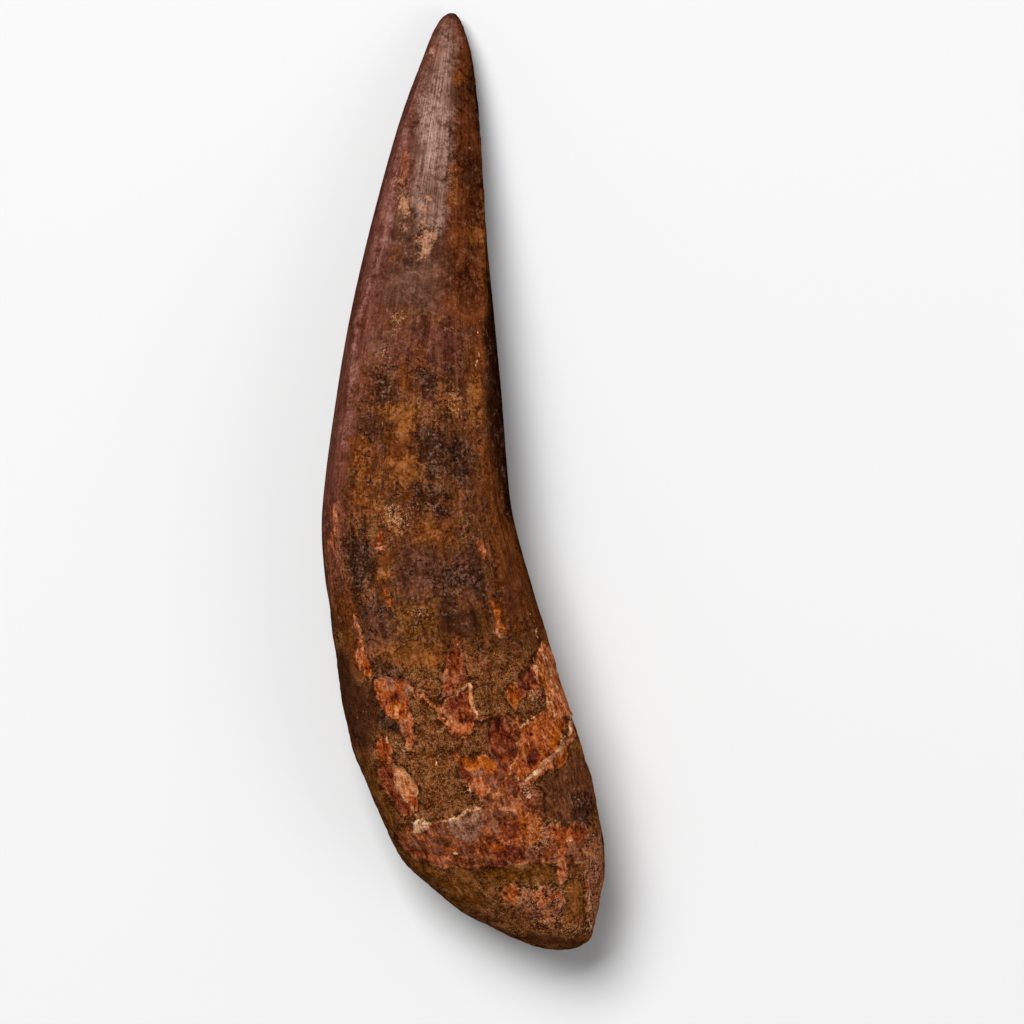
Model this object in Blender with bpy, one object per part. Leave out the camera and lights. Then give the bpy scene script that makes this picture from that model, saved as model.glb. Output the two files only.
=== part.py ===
"""Fossil spinosaurus tooth: crown and root in one solid, lying on its side.

Metres, +Z up. The tip points along +Y, the convex edge faces -X, and the origin is
below the middle of the tooth, on the surface that it lies on.
"""

import math

import bmesh
import bpy
from mathutils import Vector, noise

MM = 0.001
NODE = "tooth"

# The whole tooth.
LENGTH = 150.0 * MM
RINGS = 104
OVER_TOP = 24  # spaces between the carinae, over the upper side
UNDER = 20  # spaces between the carinae, round the underside
END_CROWDING = 0.45  # share of the rings' spacing that tightens towards both ends

# The outline, from the tip to the broken end of the root, in millimetres:
# convex edge x, y; concave edge x, y; depth; height of the underside before it is bedded flat.
STATIONS = (
    (-2.3, 74.6, -1.2, 74.5, 0.9, 1.60),
    (-3.2, 74.0, -0.7, 73.9, 2.5, 1.20),
    (-4.7, 71.8, 0.2, 71.8, 4.8, 0.80),
    (-6.6, 67.0, 1.4, 67.3, 7.7, 0.45),
    (-9.5, 59.2, 2.3, 59.5, 11.0, 0.15),
    (-12.4, 49.6, 3.0, 49.9, 14.0, -0.20),
    (-15.7, 36.9, 3.9, 37.7, 17.3, -0.45),
    (-18.5, 24.1, 5.1, 25.4, 20.6, -0.20),
    (-20.6, 11.3, 6.3, 12.9, 23.3, 0.05),
    (-22.1, 0.2, 7.1, 2.5, 25.5, -0.20),
    (-22.7, -7.8, 7.9, -4.9, 26.9, -0.50),
    (-22.2, -14.5, 9.9, -12.6, 27.7, -0.65),
    (-20.9, -24.6, 13.0, -23.0, 28.4, -0.70),
    (-19.2, -35.7, 15.9, -33.3, 28.2, -0.60),
    (-17.0, -44.8, 18.8, -41.6, 27.2, -0.35),
    (-13.9, -52.2, 21.2, -50.1, 25.6, 0.20),
    (-9.9, -60.4, 22.5, -57.0, 23.0, 1.10),
    (-5.0, -65.2, 22.6, -61.8, 20.2, 2.10),
    (0.8, -69.7, 22.1, -65.8, 16.8, 3.40),
    (6.2, -72.4, 21.6, -69.0, 13.2, 4.90),
    (9.6, -73.8, 20.9, -71.4, 10.4, 6.00),
    (13.0, -74.7, 20.4, -73.2, 7.6, 7.20),
    (15.2, -75.0, 19.3, -74.4, 4.6, 8.40),
)

# The carinae are the two cutting edges. Both stand a little above the widest line.
CARINA_HEIGHT = 0.50 * MM
CARINA_FLUTE = 0.16 * MM  # depth of the shallow groove beside each edge
CARINA_FULL = 9.0 * MM  # half width of the tooth at which the edges have their full height
CARINA_FADE = (6.0 * MM, -9.0 * MM)  # y where an edge starts to fade, and where it ends
CONVEX_CARINA = (math.radians(40), math.radians(30))  # angle above the widest line: tip, base
CONCAVE_CARINA = (math.radians(4), math.radians(42))
CARINA_Y = (70.0 * MM, 8.0 * MM)  # y at which those two angles hold

# Surface relief. The crown is smooth, its middle is pitted, and the root is lumpy crust.
ROOT_Y = (0.0 * MM, -30.0 * MM)  # y where the crust begins, and where it is full
LUMP_SIZE = 5.5 * MM
LUMP_HEIGHT = 0.40 * MM
GRIT_SIZE = 2.2 * MM
GRIT_HEIGHT = 0.26 * MM
PIT_SIZE = 2.6 * MM
PIT_DEPTH = 0.90 * MM
PIT_THRESHOLD = 0.05
PIT_ZONE = (-12.0 * MM, 8.0 * MM, -6.0 * MM, 25.0 * MM)  # centre x, y and half sizes x, y
PIT_ZONE_EDGE = (0.7, 1.5)  # shares of the zone's half size between which the pits fade out
FIELD_OFFSET = Vector((3.7, -8.1, 5.3))  # moves the noise to a stretch that suits the tooth
UPPER_SIDE = (0.1, 0.5)  # upward tilts of the surface between which the upper side's relief fades in

# Hollows where flakes have come away from the upper side, in millimetres and degrees:
# centre x, y; half width; half length; turn of the length from +Y towards +X; depth.
HOLLOWS = (
    (-11.4, -34.5, 2.7, 3.4, -14, 0.80),
    (-9.6, -48.6, 1.9, 3.8, -24, 0.75),
    (-16.6, -27.2, 1.8, 5.2, -12, 0.60),
    (-1.2, -29.8, 2.2, 5.8, -4, 0.65),
    (-0.4, -36.9, 2.6, 3.2, -14, 0.85),
    (6.7, -41.2, 2.4, 4.2, 8, 0.75),
    (5.4, -21.6, 2.2, 3.4, -16, 0.60),
    (9.8, -33.4, 1.8, 2.8, -12, 0.55),
    (1.9, -45.3, 2.6, 1.6, -10, 0.55),
    (-5.4, 12.4, 1.3, 2.5, 0, 0.60),
    (-6.6, 4.6, 1.8, 2.4, 0, 0.50),
    (-1.0, 2.4, 1.6, 3.2, 18, 0.55),
)
HOLLOW_RIM = 0.28  # share of a hollow's size over which its wall runs

# The curved ledge that crosses the root from the concave edge, in millimetres.
LEDGE_CENTRE = (1.0, -38.5)
LEDGE_RADIUS = 16.0
LEDGE_ARC = (math.radians(-68), math.radians(8))
LEDGE_END = 0.2  # angle over which the ledge dies out beyond each end of its arc
LEDGE_WIDTH = 1.1
LEDGE_SLOPE = 4.4
LEDGE_HEIGHT = 0.60 * MM

# The lip of the broken end: the crust stops short of it on the convex side.
NOTCH = Vector((7.9, -72.6, 13.0)) * MM
NOTCH_RADIUS = 2.0 * MM
NOTCH_CORE = 0.6 * MM  # radius within which the notch has its full depth
NOTCH_DEPTH = 1.1 * MM

FOSSIL_COLOUR = (0.105, 0.042, 0.018, 1.0)
FOSSIL_ROUGHNESS = 0.48


def clear_scene():
    for obj in list(bpy.data.objects):
        bpy.data.objects.remove(obj)


def smooth_step(low, high, value):
    """0 at low, 1 at high, and a smooth turn between them."""
    share = min(1.0, max(0.0, (value - low) / (high - low)))
    return share * share * (3 - 2 * share)


def catmull_rom(before, start, end, after, share):
    """The point at this share of the way from start to end on a smooth curve through all four."""
    return 0.5 * (
        2 * start
        + (end - before) * share
        + (2 * before - 5 * start + 4 * end - after) * share**2
        + (3 * start - before - 3 * end + after) * share**3
    )


def station_at(position):
    """The six station values at a position along the list, such as 3.5, in metres."""
    last = len(STATIONS) - 1
    index = min(int(position), last - 1)
    rows = [STATIONS[min(max(index + step, 0), last)] for step in (-1, 0, 1, 2)]
    share = position - index
    return [catmull_rom(*values, share) * MM for values in zip(*rows)]


def station_lengths():
    """Distance from the tip to each station along the middle of the tooth, in metres."""
    middles = [Vector((a + c, b + d, 0)) * MM / 2 for a, b, c, d, _, _ in STATIONS]
    lengths = [0.0]
    for start, end in zip(middles, middles[1:]):
        lengths.append(lengths[-1] + (end - start).length)
    return lengths


def ring_positions():
    """Positions along the stations for the rings, evenly spaced but closer at both ends."""
    lengths = station_lengths()
    positions = []
    for ring in range(RINGS):
        share = ring / (RINGS - 1)
        eased = (1 - math.cos(math.pi * share)) / 2
        distance = lengths[-1] * (share + (eased - share) * END_CROWDING)
        index = sum(length <= distance for length in lengths[1:-1])
        span = lengths[index + 1] - lengths[index]
        positions.append(index + (distance - lengths[index]) / span)
    return positions


def carina_angles(y):
    """Angles of the concave and the convex carina round the section, counted from +X."""
    share = smooth_step(CARINA_Y[0], CARINA_Y[1], y)
    concave = CONCAVE_CARINA[0] + (CONCAVE_CARINA[1] - CONCAVE_CARINA[0]) * share
    convex = CONVEX_CARINA[0] + (CONVEX_CARINA[1] - CONVEX_CARINA[0]) * share
    return concave, math.pi - convex


def ring_angles(y):
    """Angles of a ring's points: the first is on the concave carina, and point OVER_TOP on the convex."""
    concave, convex = carina_angles(y)
    over = [concave + (convex - concave) * i / OVER_TOP for i in range(OVER_TOP)]
    round_below = concave + 2 * math.pi - convex
    under = [convex + round_below * i / UNDER for i in range(UNDER)]
    return over + under


def carina_lift(index, y):
    """How far a carina, or the flute beside it, moves this point of a ring outwards."""
    fade = 1 - smooth_step(*CARINA_FADE, y)
    around = OVER_TOP + UNDER
    away = min(abs(index - crest) for crest in (0, OVER_TOP, around))
    return fade * (CARINA_HEIGHT, -CARINA_FLUTE, 0.0)[min(away, 2)]


def add_ring(bm, position):
    """One closed ring of points across the tooth, with the carinae raised."""
    left_x, left_y, right_x, right_y, depth, underside = station_at(position)
    left = Vector((left_x, left_y, 0))
    right = Vector((right_x, right_y, 0))
    middle = (left + right) / 2
    half_width = (right - left) / 2
    half_depth = depth / 2
    middle.z = underside + half_depth
    ridge = min(1.0, half_width.length / CARINA_FULL)
    points = []
    for index, angle in enumerate(ring_angles(middle.y)):
        out = half_width * math.cos(angle) + Vector((0, 0, half_depth * math.sin(angle)))
        lift = out.normalized() * carina_lift(index, middle.y) * ridge
        points.append(bm.verts.new(middle + out + lift))
    return points


def join_rings(bm, first, second):
    count = len(first)
    for i in range(count):
        after = (i + 1) % count
        bm.faces.new((first[i], first[after], second[after], second[i]))


def make_loft(bm):
    """The bare shape of the tooth: rings joined by quads, with both ends closed."""
    rings = [add_ring(bm, position) for position in ring_positions()]
    for first, second in zip(rings, rings[1:]):
        join_rings(bm, first, second)
    ends = [bm.faces.new(rings[0]), bm.faces.new(rings[-1])]
    bmesh.ops.poke(bm, faces=ends)
    bmesh.ops.recalc_face_normals(bm, faces=bm.faces)


def hollow_depth(point):
    """Depth of the flake hollows below this point of the upper side."""
    deepest = 0.0
    for x, y, half_width, half_length, turn, depth in HOLLOWS:
        angle = math.radians(turn)
        east = point.x / MM - x
        north = point.y / MM - y
        across = (east * math.cos(angle) - north * math.sin(angle)) / half_width
        along = (east * math.sin(angle) + north * math.cos(angle)) / half_length
        away = math.hypot(across, along)
        inside = 1 - smooth_step(1 - HOLLOW_RIM, 1 + HOLLOW_RIM, away)
        deepest = max(deepest, depth * MM * inside)
    return deepest


def ledge_height(point):
    """Height of the curved ledge on the upper side: a sharp outer edge and a slow inner slope."""
    east = point.x / MM - LEDGE_CENTRE[0]
    north = point.y / MM - LEDGE_CENTRE[1]
    bearing = math.atan2(north, east)
    start, end = LEDGE_ARC
    on_arc = smooth_step(start - LEDGE_END, start, bearing)
    on_arc *= 1 - smooth_step(end, end + LEDGE_END, bearing)
    inward = LEDGE_RADIUS - math.hypot(east, north)
    profile = smooth_step(-LEDGE_WIDTH, 0, inward) * (1 - smooth_step(0, LEDGE_SLOPE, inward))
    return LEDGE_HEIGHT * on_arc * profile


def crust_height(point):
    """Lumps of the crust on the root, which fade out up the crown."""
    amount = smooth_step(*ROOT_Y, point.y)
    lumps = LUMP_HEIGHT * noise.noise(point / LUMP_SIZE + FIELD_OFFSET)
    grit = GRIT_HEIGHT * noise.noise(point / GRIT_SIZE - FIELD_OFFSET)
    return amount * (lumps + grit)


def pit_depth(point):
    """Pits in the worn middle of the crown's upper side."""
    centre_x, centre_y, half_x, half_y = PIT_ZONE
    away = math.hypot((point.x - centre_x) / half_x, (point.y - centre_y) / half_y)
    amount = 1 - smooth_step(*PIT_ZONE_EDGE, away)
    field = noise.noise(point / PIT_SIZE + 2 * FIELD_OFFSET)
    return PIT_DEPTH * amount * max(0.0, field - PIT_THRESHOLD)


def add_relief(bm):
    """Moves every point along its normal by the crust, the pits, the hollows and the ledge."""
    bm.normal_update()
    moves = []
    for vert in bm.verts:
        upper = smooth_step(*UPPER_SIDE, vert.normal.z)
        outward = crust_height(vert.co)
        outward += upper * (ledge_height(vert.co) - hollow_depth(vert.co) - pit_depth(vert.co))
        away = (vert.co - NOTCH).length
        outward -= NOTCH_DEPTH * (1 - smooth_step(NOTCH_CORE, NOTCH_RADIUS, away))
        moves.append((vert, vert.normal * outward))
    for vert, move in moves:
        vert.co += move


def bed_flat(bm):
    """Cuts the lowest stretches of the underside off level, so that the tooth lies on flat faces."""
    everything = bm.verts[:] + bm.edges[:] + bm.faces[:]
    bmesh.ops.bisect_plane(
        bm, geom=everything, plane_co=(0, 0, 0), plane_no=(0, 0, 1), clear_inner=True
    )
    rim = [edge for edge in bm.edges if edge.is_boundary]
    made = bmesh.ops.holes_fill(bm, edges=rim)
    bmesh.ops.triangulate(bm, faces=made["faces"])
    bmesh.ops.recalc_face_normals(bm, faces=bm.faces)


def centre_and_size(bm):
    """Brings the shape to its stated length, centred over the origin."""
    xs = [vert.co.x for vert in bm.verts]
    ys = [vert.co.y for vert in bm.verts]
    middle = Vector((max(xs) + min(xs), max(ys) + min(ys), 0)) / 2
    scale = LENGTH / (max(ys) - min(ys))
    for vert in bm.verts:
        vert.co = (vert.co - middle) * scale


def fossil_material():
    material = bpy.data.materials.new("fossil_tooth")
    material.use_nodes = True
    shader = material.node_tree.nodes["Principled BSDF"]
    shader.inputs["Base Color"].default_value = FOSSIL_COLOUR
    shader.inputs["Roughness"].default_value = FOSSIL_ROUGHNESS
    shader.inputs["Metallic"].default_value = 0.0
    material.diffuse_color = FOSSIL_COLOUR
    return material


def make_tooth():
    bm = bmesh.new()
    make_loft(bm)
    add_relief(bm)
    centre_and_size(bm)
    bed_flat(bm)
    mesh = bpy.data.meshes.new(NODE)
    bm.to_mesh(mesh)
    bm.free()
    mesh.materials.append(fossil_material())
    mesh.shade_smooth()
    mesh.set_sharp_from_angle(angle=math.radians(35))
    tooth = bpy.data.objects.new(NODE, mesh)
    bpy.context.scene.collection.objects.link(tooth)
    return tooth


def main():
    clear_scene()
    make_tooth()


main()
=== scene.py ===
"""The fossil tooth, dressed: a fine, carved and weathered skin over the plain solid, on a pale floor.

Lengths in the tables are in millimetres in the part's own frame: the tip points along +Y, the
convex edge faces -X, and the side that shows faces +Z. The marks are drawn in the squares of a
sheet that lies over that frame. Everything else is in metres.
"""

import bpy
import numpy as np
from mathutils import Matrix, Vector, noise


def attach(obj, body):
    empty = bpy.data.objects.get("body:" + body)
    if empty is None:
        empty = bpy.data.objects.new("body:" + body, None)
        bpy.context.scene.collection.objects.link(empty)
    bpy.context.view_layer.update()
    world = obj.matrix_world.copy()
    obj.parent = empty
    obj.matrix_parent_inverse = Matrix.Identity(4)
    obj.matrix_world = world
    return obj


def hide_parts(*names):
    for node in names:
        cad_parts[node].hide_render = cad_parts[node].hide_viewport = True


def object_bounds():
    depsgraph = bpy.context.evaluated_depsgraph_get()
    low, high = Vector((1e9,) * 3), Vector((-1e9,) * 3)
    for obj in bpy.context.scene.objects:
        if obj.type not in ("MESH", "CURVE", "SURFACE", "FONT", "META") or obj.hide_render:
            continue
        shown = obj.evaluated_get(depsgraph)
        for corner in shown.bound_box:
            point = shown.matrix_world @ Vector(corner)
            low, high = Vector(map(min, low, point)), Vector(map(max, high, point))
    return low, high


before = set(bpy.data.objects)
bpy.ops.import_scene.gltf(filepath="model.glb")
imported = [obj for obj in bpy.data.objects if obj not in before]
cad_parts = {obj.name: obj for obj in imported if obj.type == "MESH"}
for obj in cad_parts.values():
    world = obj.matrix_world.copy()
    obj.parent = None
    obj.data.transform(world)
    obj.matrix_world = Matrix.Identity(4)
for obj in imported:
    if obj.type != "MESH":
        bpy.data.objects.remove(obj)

bl_info = {
    "name": "Fossil Tooth",
    "version": (1, 0, 0),
    "blender": (4, 5, 0),
    "location": "View3D > Sidebar > Fossil",
    "description": "Carves and colours a long fossil tooth over its plain solid, and lights it",
    "category": "Object",
}

MM = 0.001
SOLID = "tooth"
PIECE = "fossil_tooth"
SOLID_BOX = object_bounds()

# The middle line of the tooth from the tip to the broken end, as seen from above.
MIDDLE_LINE = (
    (-1.7, 75.0), (-2.7, 67.0), (-3.5, 59.3), (-4.6, 49.7), (-5.8, 37.3), (-6.7, 24.7),
    (-7.2, 12.1), (-7.5, 1.3), (-7.4, -6.4), (-6.1, -13.6), (-3.9, -23.8), (-1.6, -34.5),
    (0.9, -43.2), (3.6, -51.1), (6.3, -58.7), (8.8, -63.5), (11.4, -67.8), (13.9, -70.7),
    (16.0, -73.0), (17.4, -75.0),
)
LINE_STEP = 0.5  # spacing of the points that the middle line is read at
LINE_BLUR = 7  # points to either side over which the line's direction is evened out
SLICE = 4  # points of the line in each slice that the tooth's depth and width are measured in
THINNEST = 0.3  # least half depth and half width of a slice
WRAP_RADIUS = 12.0  # of the straight cylinder that patterns along the tooth are laid on
UNDER_SHIFT = 11.0  # how far along the tooth the underside's marks are moved from the upper side's
SHARP_ANGLE = 0.5  # radians between two faces whose shared edge stays crisp
SHARP_CREASE = 0.7
FAR = 3.0  # distance beyond which a mark is no longer measured
RIM_ANGLES = (-14.0, -2.0)  # degrees above the widest line over which the marks fade at the border
ZONE_ANGLES = (-48.0, 4.0)  # the same for the zones, which run on from the upper side to the underside
WOBBLE_SIZE = 2.2  # size of the waves in the outlines of marks and zones
WOBBLE_REACH = 0.7
EDGE_WIDTHS = (0.25, 0.4)  # how far a mark's step in height spreads out from its outline, and in
TIP_REACH = 8.0  # length of the tip that is drawn out again after the skin was smoothed
FLOOR_GAP = 0.02  # points lower than this lie on the floor and stay there

# Where the enamel is worn through, and where the root's sandy crust lies.
WORN_ZONE = (
    (-11.2, 25.5), (-3.7, 27.6), (1.9, 24.4), (4.6, 13.0), (5.4, 0.0), (6.0, -12.0), (10.8, -19.0),
    (14.0, -26.0), (-3.0, -28.0), (-19.0, -26.5), (-21.0, -14.0), (-19.6, -8.0), (-19.0, 2.0),
    (-18.3, 9.7), (-16.2, 17.5),
)
ROOT_ZONE = (
    (-24.0, -20.0), (-18.5, -24.0), (-13.0, -27.5), (-4.0, -27.0), (4.0, -25.5), (9.0, -25.0),
    (14.0, -22.0), (24.0, -20.0), (30.0, -90.0), (-30.0, -90.0),
)
ZONE_SPREAD = 2.0  # how much slower than a mark's distance a zone's distance grows

# The marks are drawn on a sheet of small squares, with x to the right and y downward.
SHEET_STEP = 0.15957  # width of one square
SHEET_MIDDLE = (463.25, 481.0)  # where the part frame's middle lies on the sheet

# Patches of the surface: for each finish and height over the skin, the outlines on the sheet,
# each written as its corners' x,y in turn.
PATCHES = {
    # the steep side beyond the concave edge: partly the enamel's own darker colour, partly painted shade
    ("facet", 0): [
        "487,235 486,300 484,340 486,380 489,420 493,460 500,500 512,560 545,560 "
        "530,500 520,400 510,300 500,235",
    ],
    # painted highlight: the fainter lower end of the crown's sheen of light
    ("haze", 0): ["424,140 444,134 450,160 446,200 442,228 430,240 416,226 412,196 416,164"],
    # painted highlight: the broad pale sheen of light down the crown's middle
    ("sheen", 0): [
        "443,31 450,29 453,44 452,60 450,90 449,125 442,152 434,172 424,164 419,142 421,110 428,85 434,60",
    ],
    ("wine", 0): [
        "432,34 440,30 442,48 436,60 428,62",
        "450,20 459,20 464,32 455,36",
        "400,142 411,144 413,165 410,190 403,192 399,165",
        "384,318 470,318 468,368 420,376 384,370",
        "360,300 380,300 368,360 352,440 342,520 334,600 322,600 320,520 330,420 346,340",
    ],
    ("dun", -0.06): [
        "396,337 405,336 406,352 398,354",
        "405,323 420,323 421,331 406,333",
        "381,325 393,328 392,345 380,342",
        "442,347 454,347 454,354 443,355",
        "424,358 440,356 442,366 426,368",
        "456,379 466,380 466,402 457,400",
        "377,428 388,429 390,445 384,453 377,444",
        "428,553 441,553 443,566 434,573 427,566",
        "400,568 414,566 418,586 408,591 399,582",
        "410,602 424,600 430,610 422,620 411,616",
        "507,570 519,570 520,585 508,587",
        "505,601 517,600 518,613 508,618",
    ],
    ("dun", 0): [
        "452,430 464,432 472,448 478,470 474,487 462,488 452,470",
        "452,548 474,546 485,560 487,592 484,612 468,608 460,588 453,570",
        "363,602 384,600 400,610 402,632 384,642 364,630",
        "392,596 430,592 490,600 494,636 440,634 404,640 388,620",
        "400,546 430,548 452,560 450,584 420,592 396,580",
    ],
    ("rust", -0.1): [
        "380,583 387,585 394,602 395,611 387,606 382,596",
        "334,596 350,594 357,608 355,624 346,636 336,622",
    ],
    ("rust", 0): [
        "451,72 468,66 468,78 464,84 452,84",
        "452,165 462,165 461,178 456,204 447,206 449,186",
        "458,229 470,226 485,225 485,243 470,244 458,239",
        "400,198 409,198 409,215 400,215",
        "391,249 398,248 399,257 392,259",
        "478,440 490,440 500,500 510,560 497,560 486,520 478,490",
        "456,316 476,314 477,326 466,329 456,325",
        "468,343 484,345 484,400 482,433 469,430 470,385",
        "416,345 424,343 426,368 418,372 412,360",
        "400,360 420,372 418,392 400,394 392,380",
        "378,400 396,400 416,420 418,500 400,506 388,480 384,440",
        "347,437 368,434 377,450 376,510 364,514 350,500",
        "413,517 440,516 457,522 456,541 436,545 416,538",
        "377,551 397,551 397,562 388,570 378,566",
        "489,515 505,513 517,530 524,560 530,606 530,634 500,634 490,600 494,575 490,545",
        "346,638 356,630 366,645 373,656 373,678 359,679 353,668 347,650",
        "528,598 538,610 548,640 552,656 540,660 530,632",
        "430,858 470,860 470,872 440,870",
        "568,846 586,844 590,866 576,872 568,862",
    ],
    ("ochre", 0): [
        "472,231 482,229 482,238 473,239",
        "470,380 480,378 479,425 471,425",
        "384,408 400,402 416,408 415,430 400,440 386,424",
        "440,388 457,386 460,402 455,412 442,410",
        "390,457 410,455 423,460 421,482 404,488 391,480",
        "362,437 366,450 366,510 360,500 360,460",
        "420,520 436,520 438,536 424,540",
        "375,567 386,568 387,578 377,578",
        "372,646 450,642 446,666 380,664",
        "574,722 578,738 576,760 562,776 552,776 560,756 568,742",
        "566,884 586,880 588,905 584,922 566,920",
    ],
    ("olive", 0): [
        "432,824 445,822 445,830 434,831",
        "390,604 430,598 492,606 496,640 440,642 402,642",
        "470,862 556,860 556,882 500,886 460,880",
        "384,800 402,820 412,850 440,870 480,886 500,910 460,905 420,874 392,842 378,812",
        "356,730 372,760 392,800 384,812 366,780",
    ],
    ("umber", -0.1): ["515,938 540,946 590,948 592,940 560,936 530,932"],
    ("umber", -0.06): ["408,217 415,215 418,222 417,232 411,235 407,228"],
    ("umber", 0): [
        "427,64 437,64 439,72 434,78 427,74",
        "448,85 465,86 466,98 460,107 449,107",
        "456,50 471,51 470,57 457,58",
        "416,146 426,145 427,153 421,160 416,154",
        "406,135 414,134 415,140 408,141",
        "463,150 471,150 472,157 465,160",
        "461,173 473,172 474,184 466,190 460,183",
        "425,188 433,189 432,195 425,194",
        "436,192 442,193 442,200 436,198",
        "430,236 442,238 443,254 434,256 430,246",
        "360,414 376,412 380,430 372,440 361,432",
        "361,604 368,604 373,622 370,632 364,624",
        "436,604 482,608 488,634 460,638 438,630",
        "505,556 512,556 521,604 518,620 511,614 507,590",
        # painted shade: this dark band along the root's left edge stands for shade, not stain
        "332,645 350,650 358,680 374,682 380,706 372,740 370,760 350,745 338,700",
    ],
    ("brown", -0.05): ["544,778 560,768 576,750 584,756 597,790 597,806 590,820 560,820 541,812"],
    ("smudge", -0.1): ["376,700 382,710 388,720 401,723 400,732 386,733 376,722"],
    ("mauve", 0): [
        "401,146 407,148 409,165 406,186 402,188 400,166",
        "328,500 338,500 344,520 343,545 336,600 328,600 325,550",
        "398,828 447,818 486,803 468,778 452,752 500,758 522,772 541,790 545,826 586,832 "
        "584,862 530,862 440,868 410,852",
        "470,776 500,772 520,782 532,800 528,816 500,806 484,800 470,790",
        "484,808 500,804 506,820 500,850 484,858 478,842",
        "402,824 430,830 450,842 476,846 474,862 440,864 414,850",
        "584,836 600,836 603,880 600,926 590,932 586,900 584,866",
        "520,888 560,884 564,900 556,924 540,924 524,908",
    ],
    ("plum", -0.2): ["377,762 391,764 396,783 409,806 414,818 399,810 389,794 380,780"],
    ("plum", -0.15): ["443,697 468,690 472,703 478,716 470,726 456,722 447,716 441,708"],
    ("plum", 0): ["500,818 520,812 524,840 518,864 500,862 490,860", "546,890 558,888 560,898 550,900"],
    ("plum", 0.12): ["457,631 462,641 464,660 469,680 456,690 443,693 444,680 447,661 452,646"],
    ("red", -0.35): ["375,679 392,677 404,679 411,687 409,704 408,716 395,719 385,713 378,702 374,690"],
    ("red", -0.3): ["404,796 413,790 417,800 416,812 408,806"],
    ("red", -0.15): [
        "380,528 384,532 385,540 383,548 378,546 377,537",
        "376,738 389,738 392,748 391,762 380,764 376,752",
    ],
    ("red", -0.05): ["498,742 506,740 507,752 501,756", "501,758 508,758 507,770 501,772"],
    ("red", 0): [
        "357,636 364,646 371,658 370,676 364,674 360,656",
        "512,684 518,682 524,690 525,698 519,700 515,692",
        "521,730 526,721 536,716 545,707 556,708 566,722 562,738 556,748 542,766 524,776 512,772 518,752",
        "545,826 574,822 586,832 576,842 552,842",
        "502,884 516,884 519,898 512,904 503,898",
    ],
    ("salmon", -0.1): ["446,718 458,724 476,720 474,730 462,738 450,732"],
    ("salmon", 0): [
        "357,648 365,652 366,664 363,672 358,666",
        "382,678 404,679 410,686 405,690 398,686 390,689 383,687",
        "378,695 386,693 389,702 387,712 382,706",
        "530,738 544,729 550,734 548,744 536,748",
        "466,782 480,776 490,784 486,796 474,796",
        "412,830 422,832 427,838 420,840",
        "530,892 544,888 545,902 536,908",
        "541,908 556,904 554,920 544,922",
    ],
    ("salmon", 0.05): [
        "402,702 409,700 413,718 416,734 413,748 406,746 404,730",
        "556,842 566,846 568,880 560,882 557,864",
    ],
    ("salmon", 0.1): [
        "478,537 483,541 487,551 485,563 480,552",
        "540,640 548,646 566,690 572,716 556,716 546,694 538,664",
    ],
    ("orange", -0.1): [
        "450,746 457,749 463,757 489,756 493,763 497,774 490,772 482,768 466,766 460,762",
    ],
    ("orange", -0.05): ["507,692 511,685 516,692 518,704 514,711 509,702"],
    ("orange", 0): [
        "490,599 494,598 497,610 502,620 509,628 506,631 500,629 494,616",
        "364,660 372,660 372,676 365,676",
        "389,700 399,703 408,710 406,716 394,717 387,708",
        "548,730 560,726 562,738 552,748 547,742",
        "566,744 570,752 564,764 556,768 556,758",
        "492,842 500,840 505,846 498,850 492,848",
        "520,800 534,808 545,824 540,842 526,846 518,824",
    ],
    ("orange", 0.05): ["538,658 544,664 550,686 554,700 548,702 542,686"],
    ("maroon", -0.25): [
        "488,730 491,721 499,716 507,716 514,722 519,738 515,756 508,770 500,768 494,756 489,742",
    ],
    ("maroon", -0.15): ["518,680 526,668 536,666 541,680 538,700 532,690 522,690"],
    ("maroon", -0.1): [
        "401,721 408,723 410,737 403,738",
        "528,750 536,746 542,754 538,764 530,768 526,760",
    ],
    ("maroon", 0): [
        "388,692 399,689 402,698 392,699",
        "459,764 468,768 472,778 464,782 459,774",
        "524,800 534,800 536,806 530,812 523,808",
        "488,852 504,850 520,846 524,856 510,866 492,864",
        "574,824 584,826 586,833 578,835 572,831",
    ],
    ("lilac", 0.05): ["404,686 409,686 409,702 406,702", "384,680 390,679 391,687 385,688"],
    ("lilac", 0.08): ["447,818 466,812 484,808 486,824 478,838 466,840 450,832"],
    ("peach", -0.35): ["391,763 404,767 412,776 417,784 414,796 405,795 396,783"],
    ("peach", 0): ["390,704 395,703 399,712 394,715"],
    ("tan", 0): [
        "421,224 428,226 434,230 436,238 430,250 424,262 418,260 420,245 421,236",
        "398,196 409,198 410,216 401,218",
    ],
    ("crust", -0.15): ["421,373 436,372 438,385 437,402 426,404 421,392"],
    ("crust", -0.1): [
        "417,430 432,427 446,430 447,452 442,478 430,478 420,458",
        "450,446 460,444 462,456 470,474 462,484 453,478 454,462",
        "417,487 432,485 443,489 442,502 428,505 417,499",
        "437,510 446,509 452,514 444,518 437,516",
        "345,538 358,536 370,545 372,570 364,596 352,590 346,565",
        "374,660 386,658 398,666 405,674 390,677 375,676",
        "572,796 590,790 596,806 592,826 580,828 574,812",
    ],
    ("crust", -0.06): [
        "374,372 396,372 397,400 388,406 376,398",
        "443,570 472,570 474,585 458,588 444,583",
    ],
    ("cream", 0.2): ["410,821 422,818 433,821 429,828 422,832 415,831"],
    ("fleck", 0): [
        "443,165 458,165 459,207 445,209",
        "396,176 410,176 412,232 398,232",
        "415,214 432,214 440,240 432,262 414,262 412,240",
        "388,311 403,311 404,328 392,330",
        "376,345 388,344 388,357 377,357",
        "444,388 459,388 459,412 446,412",
        "378,503 392,502 404,510 416,506 417,522 404,532 388,530 380,520",
        "412,606 424,606 426,618 414,618",
        "398,742 414,742 416,754 402,758",
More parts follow.
